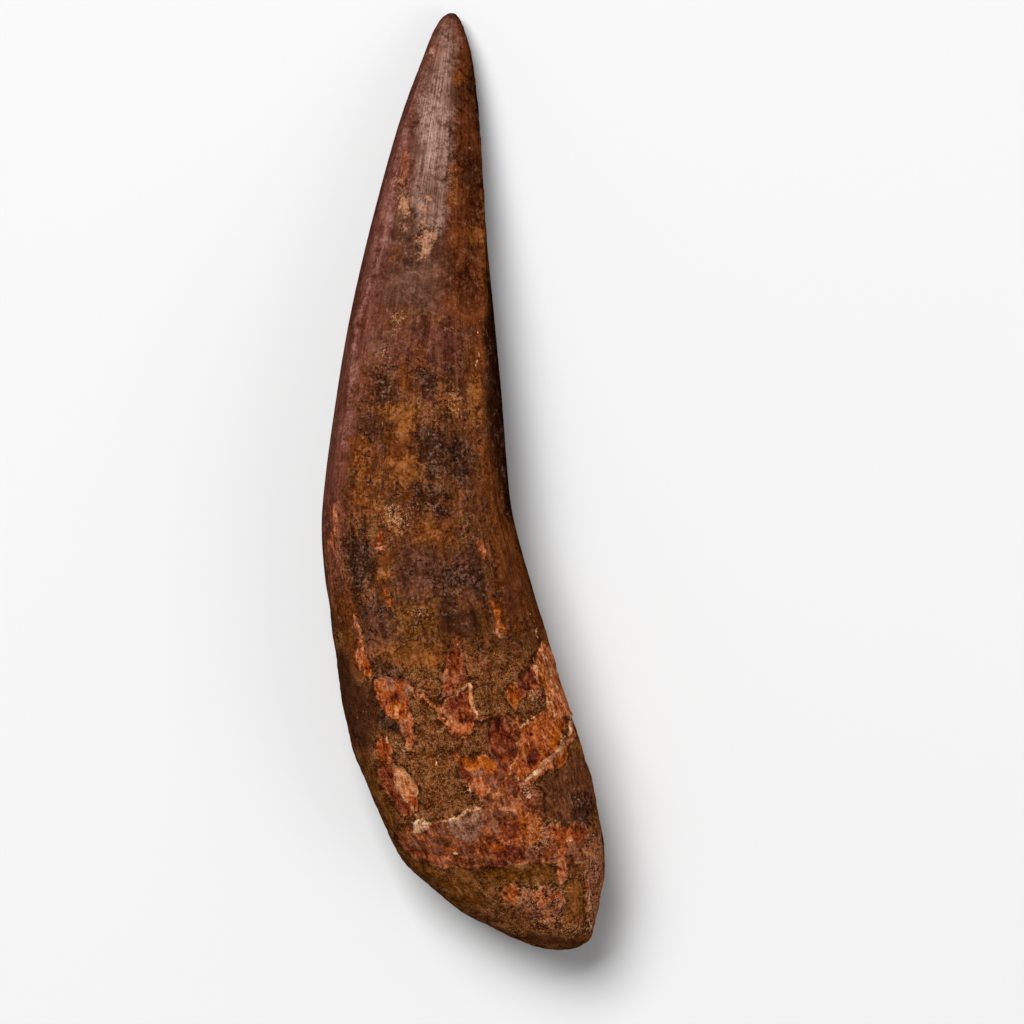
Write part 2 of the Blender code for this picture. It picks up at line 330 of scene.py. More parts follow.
        "528,690 540,690 540,704 528,704",
        "515,780 535,778 536,796 520,800",
        "528,800 548,818 560,840 534,856 520,838",
        "582,842 603,838 603,900 590,930 584,900",
        "515,884 566,880 566,926 530,926",
        "560,925 592,920 592,935 560,940",
    ],
}

# Lines and round spots: for each finish, height over the skin and half width, the routes.
LINES = {
    ("rust", 0.05, 0.5): ["376,393 378,395"],
    # the concave edge's orange line: partly the enamel's own colour, partly a painted highlight along the
    # ridge
    ("rust", 0.06, 0.3): ["484,140 485,200 484,232 484,300 483,352 482,400 481,440"],
    ("ochre", 0, 0.3): ["379,478 380,504"],
    ("ochre", 0, 0.5): ["430,752 438,766"],
    ("ochre", 0.05, 0.3): ["400,512 394,518 388,524"],
    ("ochre", 0.05, 0.4): ["378,500 382,512 388,520 394,530"],
    ("umber", -0.2, 0.25): ["452,672 457,664 460,678"],
    # painted highlights: light caught along the convex edge's ridge, and a bright hairline near the tip
    ("glow", 0, 0.2): ["449,50 450,66 449,82"],
    ("glow", 0.06, 0.35): [
        "405,133 398,166 391,196 387,232 376,268 364,302 356,332 352,380 348,412 345,446",
    ],
    ("glow", 0.06, 0.5): ["396,176 391,198 389,220 386,244"],
    ("plum", -0.1, 0.4): ["506,776 516,788 530,798 536,812", "476,826 480,846 492,856"],
    ("plum", -0.1, 0.5): ["398,834 412,852 436,858 462,856"],
    ("salmon", 0, 0.25): ["494,800 510,806 524,818 530,836"],
    ("salmon", 0.05, 0.15): ["517,722 522,738 518,756 510,772"],
    ("salmon", 0.05, 0.2): [
        "377,549 384,547 392,549", "498,628 500,637", "333,508 334,530", "330,530 332,548",
        "486,842 498,836 508,844 520,838",
    ],
    ("salmon", 0.05, 0.25): ["470,786 482,794 498,790 510,798"],
    ("salmon", 0.05, 0.3): ["414,694 428,697 436,706 441,716 445,726"],
    ("salmon", 0.08, 0.2): ["524,762 534,752 546,746 558,734"],
    ("salmon", 0.08, 0.25): ["518,716 524,730 522,748 526,764"],
    ("salmon", 0.1, 0.13): ["482,718 491,715 500,713 509,715 516,721"],
    ("salmon", 0.1, 0.2): ["353,616 360,632 364,648 366,672"],
    ("salmon", 0.1, 0.5): ["572,722 568,742 554,760 538,774 524,786"],
    ("orange", 0, 0.15): ["383,587 387,597 390,605"],
    ("orange", 0.05, 0.3): ["532,716 540,728 538,742 546,756"],
    ("orange", 0.1, 0.4): ["445,845 452,848"],
    ("maroon", 0, 0.3): ["540,812 552,832 556,846"],
    ("peach", 0, 0.15): ["549,668 556,688 562,708", "535,656 538,672 541,684"],
    ("peach", 0, 0.2): ["541,660 546,676 550,690 556,714"],
    ("peach", 0, 0.25): ["545,694 549,704 550,714"],
    ("peach", 0.08, 0.1): ["441,696 452,695 462,690 469,683"],
    ("peach", 0.1, 0.3): ["468,684 472,698 477,714"],
    ("tan", 0.05, 0.1): ["384,510 388,516", "394,520 399,517", "411,510 413,513", "432,506 432,509"],
    ("tan", 0.05, 0.3): ["443,328 445,330"],
    ("tan", 0.1, 0.3): ["430,51 431,53"],
    ("tan", 0.1, 0.4): ["404,218 404,221", "403,226 404,227", "406,203 407,206"],
    ("tan", 0.1, 0.5): ["427,197 428,200", "423,221 421,224", "419,240 421,244", "420,257 421,260"],
    ("tan", 0.1, 0.6): ["425,209 426,213"],
    ("crack", -0.1, 0.15): [
        "421,387 430,389 436,387", "439,378 445,382", "424,398 431,401 436,399",
        "452,368 456,378 457,390", "459,398 463,392", "416,449 421,455 424,457",
        "431,449 437,456 442,455", "430,462 434,470 433,478", "456,472 462,466 468,470",
        "452,433 458,438", "418,498 426,495 432,502", "437,512 446,514", "415,608 421,612 418,618",
        "402,568 408,580 402,590", "437,556 433,566 428,572", "352,546 356,560 352,572",
        "362,550 366,566 360,584", "380,335 390,345 398,350", "398,326 412,328", "428,363 440,360",
        "444,350 454,352", "378,398 388,402", "382,440 386,450", "446,576 456,574 464,582",
        "508,604 514,612",
    ],
    ("cream", -0.05, 0.12): ["481,317 479,335", "480,342 479,356 477,371"],
    ("cream", 0, 0.1): ["533,688 533,698"],
    ("cream", 0, 0.12): [
        "466,784 470,790 478,797", "496,798 504,803 508,812", "522,728 528,738 526,750",
        "532,725 538,722",
    ],
    ("cream", 0, 0.15): [
        "431,43 431,45", "510,764 516,772 520,778", "404,738 408,748", "434,768 439,756",
        "573,794 581,801",
    ],
    ("cream", 0, 0.2): ["469,148 470,149", "386,736 388,742"],
    ("cream", 0, 0.3): ["524,790 530,795"],
    # painted glints: tiny painted highlights on the crust of the worn middle
    ("cream", 0.05, 0.04): [
        "416,457 420,456", "432,452 436,451", "428,402 432,401", "427,391 429,392", "354,563 357,557",
        "352,576 356,573", "420,615 424,612", "432,434 436,436", "456,404 458,410", "464,428 465,434",
        "449,385 451,389", "436,470 438,472", "424,490 428,489",
    ],
    ("cream", 0.05, 0.15): ["566,822 556,821 546,826"],
    ("cream", 0.08, 0.13): ["560,842 574,838 590,834"],
    ("cream", 0.1, 0.08): ["521,728 528,719 537,714 545,706"],
    ("cream", 0.1, 0.12): ["416,694 430,698", "530,612 540,642 548,668 558,690"],
    ("cream", 0.1, 0.18): ["391,763 398,785 408,803 414,815", "588,887 589,908 589,932"],
    ("cream", 0.1, 0.2): ["452,849 457,851"],
    ("cream", 0.15, 0.2): ["571,712 568,730 562,741"],
    ("cream", 0.18, 0.25): ["446,820 458,814 470,811 484,803"],
    ("cream", 0.2, 0.4): ["562,741 556,749 543,765 526,780"],
}

def linear(*colours):
    """Colours that are given in thousandths of linear light."""
    return tuple(tuple(level / 1000 for level in colour) for colour in colours)


# Colours from dark to light.
ENAMEL = linear((42, 15, 8), (88, 33, 18), (132, 52, 31), (190, 82, 52))
PURPLE_ENAMEL = linear((70, 19, 11), (148, 47, 32), (230, 84, 62))
RUSSET_ENAMEL = linear((28, 6, 2), (75, 18, 5), (140, 35, 10), (220, 60, 18))
# partly the steep side's own darker colour, partly painted shade
SHADED_FACET = linear((12, 3, 1), (35, 9, 3), (70, 20, 8))
WORN = linear((45, 14, 5), (115, 39, 11), (195, 70, 19), (330, 130, 42))
WORN_RED = linear((40, 10, 4), (115, 30, 10), (195, 51, 16), (330, 98, 36))
SAND = linear((44, 14, 3), (133, 45, 11), (230, 85, 24), (400, 178, 66))
SAND_RED = linear((38, 9, 3), (128, 34, 9), (225, 65, 19), (380, 135, 50))
# painted highlight: colours of the crown's sheen of light
PAINTED_SHEEN = linear((125, 55, 37), (255, 135, 98), (395, 230, 178), (585, 385, 305))
# painted highlight: colours of the sheen's fainter lower end
PAINTED_HAZE = linear((85, 36, 24), (170, 82, 58), (270, 146, 110), (430, 260, 200))
WINE = linear((65, 15, 9), (150, 43, 26), (245, 80, 53))
DUN = linear((28, 9, 5), (80, 26, 12), (140, 48, 24), (220, 85, 46))
PEACH = linear((270, 70, 18), (620, 210, 75), (820, 350, 150), (950, 540, 300))
PALE = linear((160, 42, 13), (400, 122, 42), (570, 208, 85), (760, 370, 190))
RUST = linear((80, 18, 4), (160, 41, 9), (270, 79, 20))
OCHRE = linear((115, 31, 6), (280, 85, 18), (440, 158, 44))
OLIVE = linear((35, 9, 1), (105, 31, 5), (190, 62, 10), (320, 120, 28))
UMBER = linear((24, 7, 3), (62, 19, 9), (110, 36, 17))
BEADS = linear((30, 10, 5), (88, 32, 17), (170, 70, 40), (290, 140, 95))
CRUST = linear((10, 4, 3), (32, 12, 7), (80, 34, 21))
# painted highlight: the glints on crust beads and on the banks of cracks
PAINTED_GLINT = linear((290, 185, 145))[0]
# painted highlight: colours of the light caught on the ridge
PAINTED_HIGHLIGHT = linear((180, 66, 50), (300, 125, 100), (420, 200, 170))
MAUVE = linear((65, 15, 6), (165, 44, 18), (260, 82, 40), (440, 180, 105))
LILAC = linear((90, 24, 10), (230, 86, 46), (360, 160, 100), (540, 290, 195))
PLUM = linear((55, 7, 2), (180, 32, 12), (290, 66, 27), (500, 180, 92))
MAROON = linear((40, 5, 2), (115, 18, 8), (185, 38, 17), (330, 105, 52))
BROWN = linear((48, 13, 5), (110, 33, 12), (175, 55, 21), (280, 100, 42))
SMUDGE = linear((10, 4, 2), (30, 12, 7), (65, 27, 15), (150, 75, 45))
RED = linear((65, 9, 2), (270, 46, 10), (450, 98, 25), (680, 230, 85))
ORANGE = linear((90, 15, 2), (330, 64, 6), (530, 117, 14), (740, 225, 50))
SALMON = linear((110, 20, 6), (390, 90, 29), (600, 165, 62), (820, 330, 160))
TAN = linear((190, 75, 38), (370, 165, 90), (560, 295, 180))
CREAM = linear((320, 120, 50), (700, 360, 190), (940, 680, 440))

# For each kind of mark, in the order they are laid on: its colours, how solid it is in its middle,
# the reach of its edge in mm, how softly it ends and how ragged its outline is.
MARK_FINISHES = {
    "facet": (SHADED_FACET, 1.0, 1.0, 0.7, 0.8),
    "haze": (PAINTED_HAZE, 0.9, 1.6, 0.8, 0.9),
    "sheen": (PAINTED_SHEEN, 1.0, 2.0, 1.0, 0.6),
    "wine": (WINE, 0.6, 2.5, 1.0, 0.8),
    "dun": (DUN, 0.8, 1.6, 0.7, 1.0),
    "rust": (RUST, 0.8, 1.2, 0.5, 1.0),
    "ochre": (OCHRE, 0.9, 1.4, 0.6, 1.0),
    "olive": (OLIVE, 0.5, 1.8, 0.5, 0.9),
    "umber": (UMBER, 0.4, 1.2, 0.6, 0.9),
    "brown": (BROWN, 1.0, 1.2, 0.5, 0.9),
    "smudge": (SMUDGE, 1.0, 0.9, 0.4, 1.0),
    "glow": (PAINTED_HIGHLIGHT, 0.5, 0.9, 0.7, 0.5),
    "mauve": (MAUVE, 0.9, 0.7, 0.3, 0.8),
    "plum": (PLUM, 1.0, 0.6, 0.2, 0.5),
    "red": (RED, 0.9, 0.6, 0.25, 0.6),
    "salmon": (SALMON, 0.9, 0.6, 0.2, 0.5),
    "orange": (ORANGE, 0.9, 0.5, 0.2, 0.4),
    "maroon": (MAROON, 1.0, 0.6, 0.25, 0.6),
    "lilac": (LILAC, 1.0, 0.6, 0.2, 0.5),
    "peach": (PEACH, 1.0, 0.5, 0.15, 0.4),
    "tan": (TAN, 0.5, 0.7, 0.5, 0.8),
    "crust": (BEADS, 0.1, 1.5, 0.6, 1.2),
    "crack": (SMUDGE, 1.0, 0.4, 0.25, 0.6),
    "cream": (CREAM, 0.7, 0.3, 0.12, 0.5),
}
BONE = ("mauve", "lilac", "plum", "red", "salmon", "orange", "maroon", "peach")  # these have broken edges
MEASURED = (*MARK_FINISHES, "fleck", "ledge")  # flecks only add pale specks, partly painted glints; the ledge is all of BONE's
NOISE_BAND = (0.39, 0.61)  # where mixed noise mostly lies, between 0 and 1
PAINTED_RIM_SHADE = 0.40  # painted shade: how much of its brightness the colour keeps at the tooth's sides

FRAME_CENTRE = (7.8, -4.9, 13.0)  # the point that the camera is centred on
SENSOR = 36.0  # width of the camera's film


def length(name, description, millimetres, **limits):
    """A size that a user may change."""
    return bpy.props.FloatProperty(
        name=name, description=description, default=millimetres * MM, unit="LENGTH", precision=5,
        **limits,
    )


def tone(name, description, colour):
    """A colour that a user may change."""
    return bpy.props.FloatVectorProperty(
        name=name, description=description, default=colour, subtype="COLOR", size=3, min=0.0, max=1.0,
    )


class FossilShape(bpy.types.PropertyGroup):
    """Sizes and main colours of the carved skin."""

    grain: length("Mesh grain", "Spacing of the skin's points", 0.41, min=0.2 * MM)
    rounds: bpy.props.IntProperty(
        name="Smoothing", description="Rounds that take the voxel steps out of the skin", default=5,
        min=0,
    )
    flake_relief: bpy.props.FloatProperty(
        name="Flake relief", description="How strongly the marks stand out or lie in", default=2.0,
    )
    flute_height: length("Flutes", "Height of the lengthwise flutes of the enamel", 0.04)
    pit_depth: length("Pits", "Depth of the pits in the worn enamel", 0.22)
    crust_height: length("Crust", "Height of the beads of the black crust", 0.20)
    lump_height: length("Lumps", "Height of the lumps of the root", 0.28)
    grit_height: length("Grit", "Height of the sand grains on the root", 0.05)
    enamel: tone("Enamel", "Middle tone of the brown enamel", ENAMEL[1])
    worn: tone("Worn enamel", "Middle tone of the enamel where it is worn through", WORN[1])
    sand: tone("Sand", "Middle tone of the root's sandy crust", SAND[1])


class FossilStage(bpy.types.PropertyGroup):
    """Sizes of the stage, the camera and the lights, and the floor's colour."""

    distance: length("Camera height", "Height of the camera over the floor", 3200.0)
    frame_width: length("Frame width", "Width that the camera takes in at the tooth's middle", 163.4)
    key_power: bpy.props.FloatProperty(
        name="Key light", description="Power of the large soft light", default=98.0, unit="POWER",
    )
    fill_power: bpy.props.FloatProperty(
        name="Fill light", description="Power of the light that opens the shadows", default=6.0,
        unit="POWER",
    )
    world_level: bpy.props.FloatProperty(
        name="Room light", description="Strength of the even light from all round", default=0.20,
    )
    floor: tone("Floor", "Colour of the floor", (0.90, 0.90, 0.90))


# ---- Measures over the skin -------------------------------------------------------------------


def smooth_step(low, high, value):
    """0 at low, 1 at high, with a smooth turn between; low may be the larger number."""
    share = np.clip((value - low) / (high - low), 0.0, 1.0)
    return share * share * (3 - 2 * share)


def sampled(function, points):
    """A function of mathutils.noise at every point, as an array."""
    return np.array([function(Vector(point)) for point in points])


def noise_at(points, size, seed=0.0):
    """Smooth noise from about -0.5 to 0.5 with features of this size in millimetres."""
    return sampled(noise.noise, points / size + seed)


def middle_line():
    """Points every LINE_STEP along the middle line, and the unit direction across it at each."""
    corners = np.array(MIDDLE_LINE)
    steps = np.linalg.norm(np.diff(corners, axis=0), axis=1)
    travelled = np.concatenate(([0.0], np.cumsum(steps)))
    along = np.arange(0.0, travelled[-1], LINE_STEP)
    line = np.stack([np.interp(along, travelled, corners[:, axis]) for axis in (0, 1)], axis=1)
    window = 2 * LINE_BLUR + 1
    padded = np.pad(line, ((LINE_BLUR, LINE_BLUR), (0, 0)), mode="edge")
    soft = [np.convolve(padded[:, axis], np.ones(window) / window, "valid") for axis in (0, 1)]
    onward = np.gradient(np.stack(soft, axis=1), axis=0)
    onward /= np.linalg.norm(onward, axis=1)[:, None]
    return line, np.stack((-onward[:, 1], onward[:, 0]), axis=1)


def nearest_on(line, points):
    """For each point of the skin, which of the line's points is nearest as seen from above."""
    nearest = np.zeros(len(points), int)
    closest = np.full(len(points), np.inf)
    for index, spot in enumerate(line):
        gap = ((points[:, :2] - spot) ** 2).sum(axis=1)
        nearest[gap < closest] = index
        closest = np.minimum(closest, gap)
    return nearest


class Measures:
    """Where each point of the skin lies along and round the tooth.

    Lengths are in millimetres, the angle is in radians and the elevation in degrees.
    """

    def __init__(self, points):
        line, across = middle_line()
        nearest = nearest_on(line, points)
        offset = points[:, :2] - line[nearest]
        onward = np.column_stack((across[:, 1], -across[:, 0]))
        self.along = nearest * LINE_STEP + (offset * onward[nearest]).sum(axis=1)
        side = (offset * across[nearest]).sum(axis=1)
        centre, half_depth, half_width = self.section(nearest // SLICE, points[:, 2], side)
        self.across = np.clip(side / half_width, -1, 1)
        height = (points[:, 2] - centre) / half_depth
        self.angle = np.arctan2(height, self.across)
        self.elevation = np.degrees(np.arcsin(np.clip(height, -1, 1)))
        self.rim = smooth_step(RIM_ANGLES[1], RIM_ANGLES[0], self.elevation)

        shifted = np.clip(self.along + UNDER_SHIFT, 0, (len(line) - 1) * LINE_STEP)
        mirror = (shifted / LINE_STEP).astype(int)
        self.above = points[:, :2]
        self.below = line[mirror] - across[mirror] * side[:, None]
        upper = self.elevation > RIM_ANGLES[0]
        self.plan = np.where(upper[:, None], self.above, self.below)

    def section(self, slices, height, side):
        """The tooth's middle height, half depth and half width at each point's place along it."""
        count = slices.max() + 1
        low = np.full(count, np.inf)
        high = np.full(count, -np.inf)
        wide = np.zeros(count)
        np.minimum.at(low, slices, height)
        np.maximum.at(high, slices, height)
        np.maximum.at(wide, slices, np.abs(side))
        places = (np.arange(count) + 0.5) * SLICE * LINE_STEP
        sizes = (low + high) / 2, np.maximum((high - low) / 2, THINNEST), np.maximum(wide, THINNEST)
        return [np.interp(self.along, places, size) for size in sizes]

    def wrapped(self):
        """Points on a straight cylinder: noise that is long in z there runs along the tooth."""
        east, north = WRAP_RADIUS * np.cos(self.angle), WRAP_RADIUS * np.sin(self.angle)
        return np.stack((east, north, self.along), axis=1)


def segment_distance(points, start, end):
    """Distance from each point to a straight piece of a line."""
    span = end - start
    share = ((points - start) @ span / max(span @ span, 1e-9)).clip(0, 1)
    return np.linalg.norm(points - start - share[:, None] * span, axis=1)


def vein_distance(points, route):
    """Distance from each point to a line through the route."""
    route = np.array(route)
    return np.min([segment_distance(points, a, b) for a, b in zip(route, route[1:])], axis=0)


def patch_distance(points, outline):
    """Distance from each point to a closed outline, negative inside it."""
    outline = np.array(outline)
    following = np.roll(outline, -1, axis=0)
    away = np.min([segment_distance(points, a, b) for a, b in zip(outline, following)], axis=0)
    inside = np.zeros(len(points), bool)
    for (x0, y0), (x1, y1) in zip(outline, following):
        if y0 != y1:
            crosses = (y0 > points[:, 1]) != (y1 > points[:, 1])
            inside ^= crosses & (points[:, 0] < (x1 - x0) * (points[:, 1] - y0) / (y1 - y0) + x0)
    return np.where(inside, -away, away)


def placed(path):
    """The corners of a path on the drawing sheet, in millimetres of the part's frame."""
    corners = np.array([corner.split(",") for corner in path.split()], float)
    return (corners - SHEET_MIDDLE) * (SHEET_STEP, -SHEET_STEP)


def far_limited(distance):
    return np.clip(distance, -FAR, FAR)


def wobbled(plan):
    """The plan places, moved a little to and fro, so that no outline runs straight."""
    level = np.column_stack((plan, np.zeros(len(plan))))
    waves = [noise_at(level, WOBBLE_SIZE, seed) for seed in (11.0, 47.0)]
    return plan + WOBBLE_REACH * np.column_stack(waves)


def zone_distances(place, *outlines):
    """Distance to each zone, led smoothly round the tooth from its upper side to its underside."""
    above, below = wobbled(place.above), wobbled(place.below)
    share = smooth_step(*ZONE_ANGLES, place.elevation)
    for outline in outlines:
        over, under = patch_distance(above, outline), patch_distance(below, outline)
        yield far_limited((under + (over - under) * share) / ZONE_SPREAD)


def drawn_marks():
    """Every mark: finish, height, half width, route, and the function that gives its distance."""
    for (finish, height), outlines in PATCHES.items():
        for outline in outlines:
            yield finish, height, 0.0, placed(outline), patch_distance
    for (finish, height, half_width), routes in LINES.items():
        for route in routes:
            yield finish, height, half_width, placed(route), vein_distance


def marks(places, rim):
    """For each finish, the distance to its nearest mark; and the relief of all marks together."""
    distances = {finish: np.full(len(places), FAR) for finish in MEASURED}
    relief = np.zeros(len(places))
    outward, inward = EDGE_WIDTHS
    for finish, height, half_width, route, measure in drawn_marks():
        near = np.all(places > route.min(axis=0) - FAR, axis=1)
        near &= np.all(places < route.max(axis=0) + FAR, axis=1)
        away = measure(places[near], route) - half_width + FAR * rim[near]
        names = (finish, "ledge") if finish in BONE else (finish,)
        for name in names:
            distances[name][near] = np.minimum(distances[name][near], away)
        relief[near] += height * smooth_step(outward, -min(half_width or inward, inward), away)
    return {name: far_limited(away) for name, away in distances.items()}, relief


# ---- The skin -----------------------------------------------------------------------------------


def only(piece):
    """Makes this the one selected and active object."""
    bpy.ops.object.select_all(action="DESELECT")
    piece.select_set(True)
    bpy.context.view_layer.objects.active = piece


def modify(piece, kind, **settings):
    """Adds one modifier with these settings and applies it."""
    only(piece)
    bpy.ops.object.modifier_add(type=kind)
    modifier = piece.modifiers[-1]
    for name, value in settings.items():
        setattr(modifier, name, value)
    bpy.ops.object.modifier_apply(modifier=modifier.name)


def copied_solid():
    """A merged copy of the solid's mesh, with its quads put back together."""
    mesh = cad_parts[SOLID].data.copy()
    mesh.name = PIECE
    mesh.materials.clear()
    piece = bpy.data.objects.new(PIECE, mesh)
    bpy.context.scene.collection.objects.link(piece)
    only(piece)
    bpy.ops.mesh.customdata_custom_splitnormals_clear()
    bpy.ops.object.mode_set(mode="EDIT")
    bpy.ops.mesh.select_all(action="SELECT")
    bpy.ops.mesh.remove_doubles(threshold=0.001 * MM)
    bpy.ops.mesh.tris_convert_to_quads()
    bpy.ops.mesh.normals_make_consistent(inside=False)
    bpy.ops.mesh.select_all(action="DESELECT")
    bpy.ops.mesh.edges_select_sharp(sharpness=SHARP_ANGLE)
    bpy.ops.transform.edge_crease(value=SHARP_CREASE)
    bpy.ops.object.mode_set(mode="OBJECT")
    return piece


def refine(piece, shape):
    """Rounds the solid's facets and gives the piece an even mesh that is fine enough to carve."""
    modify(piece, "SUBSURF", levels=2, render_levels=2)
    modify(piece, "REMESH", mode="VOXEL", voxel_size=shape.grain, use_smooth_shade=True)
    modify(piece, "SMOOTH", factor=0.5, iterations=shape.rounds)


def read_vectors(data, field):
    """The vectors that a mesh holds in this field, one row for each."""
    flat = np.empty(len(data) * 3)
    data.foreach_get(field, flat)
    return flat.reshape(-1, 3)


def write_points(mesh, points):
    mesh.vertices.foreach_set("co", (points * MM).astype(np.float32).ravel())
    mesh.update()


def store(mesh, name, values):
    """Keeps one number or one vector for each point, for the material to read."""
    kind, field = ("FLOAT", "value") if values.ndim == 1 else ("FLOAT_VECTOR", "vector")
    attribute = mesh.attributes.new(name, kind, "POINT")
    attribute.data.foreach_set(field, values.astype(np.float32).ravel())


def flutes(wrapped):
    """Fine ridges that run the length of the enamel."""
    return 2 * noise_at(wrapped * (1, 1, 0.04), 1.1, 3.0)


def scattered_pits(points):
    """Pits in loose groups, 1 in their middle and 0 between them."""
    return smooth_step(0.20, 0.45, noise_at(points, 1.0, 21.0) + 0.35 * noise_at(points, 4.0, 2.0))


def bead_distance(points):
    """Distance to the middle of the nearest bead of crust, as a share of the beads' spacing."""
    return sampled(lambda spot: noise.voronoi(spot)[0][0], points / 1.05)


def root_relief(points, elevation, shape):
    """Lumps, which fade toward the widest line to keep its outline clean, and sand grains."""
    lumps = noise_at(points, 3.6, 31.0) * smooth_step(6, 35, np.abs(elevation))
    grit = noise_at(points, 1.0, 13.0)
    return 2 * (shape.lump_height / MM * lumps + shape.grit_height / MM * grit)


def carve(piece, shape):
    """Moves the skin's points to flute, pit, crust and flake it, and stores what the finish reads."""
    mesh = piece.data
    points = read_vectors(mesh.vertices, "co") / MM
    normals = read_vectors(mesh.vertex_normals, "vector")
    low, high = (np.array(corner) / MM for corner in SOLID_BOX)
    lost = high[1] - points[:, 1].max()
    points[:, 1] += lost * smooth_step(high[1] - TIP_REACH, high[1], points[:, 1])
    place = Measures(points)
    wrapped = place.wrapped()
    distances, relief = marks(wobbled(place.plan), place.rim)
    worn, root = zone_distances(place, WORN_ZONE, ROOT_ZONE)
    on_worn = smooth_step(0.8, -0.8, worn + 0.8 * noise_at(points, 3.0, 5.0))
    on_root = smooth_step(0.8, -0.8, root + 0.8 * noise_at(points, 3.0, 9.0))
    on_crust = smooth_step(0.5, -0.3, distances["crust"])
    pits = scattered_pits(points) * on_worn
    beads = bead_distance(points)

    relief *= shape.flake_relief
    relief += shape.flute_height / MM * flutes(wrapped) * (1 - on_worn) * (1 - on_root)
    relief -= shape.pit_depth / MM * pits
    relief += shape.crust_height / MM * on_crust * (0.45 - beads) * 1.6
    relief += np.maximum(on_root, 0.35 * on_worn) * root_relief(points, place.elevation, shape)
    relief[points[:, 2] < FLOOR_GAP] = 0.0
    write_points(mesh, np.clip(points + normals * relief[:, None], low, high))

    for name, away in distances.items():
        store(mesh, "mark_" + name, away)
    store(mesh, "worn", worn)
    store(mesh, "root", root)
    store(mesh, "pits", pits + on_crust * smooth_step(0.35, 0.75, beads))
    store(mesh, "across", place.across)
    store(mesh, "elevation", place.elevation / 90)
    store(mesh, "wrapped", wrapped)


# ---- The finish ---------------------------------------------------------------------------------


class Value:
    """One socket of a material; arithmetic with it adds Math nodes."""

    def __init__(self, shader, socket):
        self.shader = shader
        self.socket = socket

    def math(self, operation, first, second):
        return self.shader.node("ShaderNodeMath", {"operation": operation}, {0: first, 1: second})

    def __add__(self, other):
        return self.math("ADD", self, other)

    def __sub__(self, other):
        return self.math("SUBTRACT", self, other)

    def __rsub__(self, other):
        return self.math("SUBTRACT", other, self)

    def __mul__(self, other):
        return self.math("MULTIPLY", self, other)

    __radd__ = __add__
    __rmul__ = __mul__


class Shader:
    """The nodes of one material round its Principled shader."""

    def __init__(self, name):
        self.material = bpy.data.materials.new(name)
        self.material.use_nodes = True
        self.tree = self.material.node_tree
        self.surface = self.tree.nodes["Principled BSDF"].inputs

    def feed(self, socket, value):
        """Links a Value to the socket, or sets a number or a colour on it."""
        if isinstance(value, Value):
            self.tree.links.new(value.socket, socket)
        elif socket.type == "RGBA":
            socket.default_value = (*value[:3], 1.0)
        else:
            socket.default_value = value

    def node(self, kind, settings=None, inputs=None, output=0):
        """Adds one node, with its settings and ramp stops first and then its sockets' values."""
        made = self.tree.nodes.new(kind)
        for name, value in (settings or {}).items():
            if name == "stops":
                elements = made.color_ramp.elements
                while len(elements) < len(value):
                    elements.new(1.0)
                for element, (position, colour) in zip(elements, value):
                    element.position = position
                    element.color = (*colour, 1.0)
            else:
                setattr(made, name, value)
        for name, value in (inputs or {}).items():
            self.feed(made.inputs[name], value)
        return Value(self, made.outputs[output])

    def stored(self, name, vector=False):
        """A field that is kept on the mesh."""
        settings = {"attribute_name": name}
        return self.node("ShaderNodeAttribute", settings, output=1 if vector else 2)

    def scaled(self, vector, factors):
        inputs = {0: vector, 1: factors}
        return self.node("ShaderNodeVectorMath", {"operation": "MULTIPLY"}, inputs)

    def shifted(self, vector, amount, reach):
        """The places moved by a noise value, up to this reach each way."""
        offset = self.node("ShaderNodeCombineXYZ", None, {0: amount * reach, 1: amount * -reach})
        return self.node("ShaderNodeVectorMath", {"operation": "ADD"}, {0: vector, 1: offset})

    def noise(self, vector, size, detail=3.0, roughness=0.6, distortion=0.0):
        """Noise from 0 to 1 with features of about this size."""
        inputs = {
            "Vector": vector, "Scale": 1 / size, "Detail": detail, "Roughness": roughness,
            "Distortion": distortion,
        }
        return self.node("ShaderNodeTexNoise", None, inputs)

    def cells(self, vector, size):
        """Distance to the nearest of many scattered points, as a share of their spacing."""
        return self.node("ShaderNodeTexVoronoi", None, {"Vector": vector, "Scale": 1 / size})

    def step(self, value, low, high):
        """0 at low and 1 at high, clamped and smooth."""
        settings = {"interpolation_type": "SMOOTHSTEP"}
        return self.node("ShaderNodeMapRange", settings, {0: value, 1: low, 2: high, 3: 0.0, 4: 1.0})

    def line(self, value, low, high, start, end):
        """A straight run from start at low to end at high, and level beyond both."""
        return self.node("ShaderNodeMapRange", None, {0: value, 1: low, 2: high, 3: start, 4: end})

    def ramp(self, value, *colours):
        """Colours evenly spaced over the band that mixed noise mostly lies in."""
        low, high = NOISE_BAND
        spread = [low + (high - low) * i / (len(colours) - 1) for i in range(len(colours))]
        return self.node("ShaderNodeValToRGB", {"stops": list(zip(spread, colours))}, {0: value})

    def mix(self, amount, first, second, blend="MIX"):
        settings = {"data_type": "RGBA", "blend_type": blend}
        return self.node("ShaderNodeMix", settings, {0: amount, 6: first, 7: second}, output=2)


def toned(colours, middle):
    """The colours, turned together so that the second becomes this one."""
    turn = [wanted / given for wanted, given in zip(middle, colours[1])]
    return [[level * factor for level, factor in zip(colour, turn)] for colour in colours]


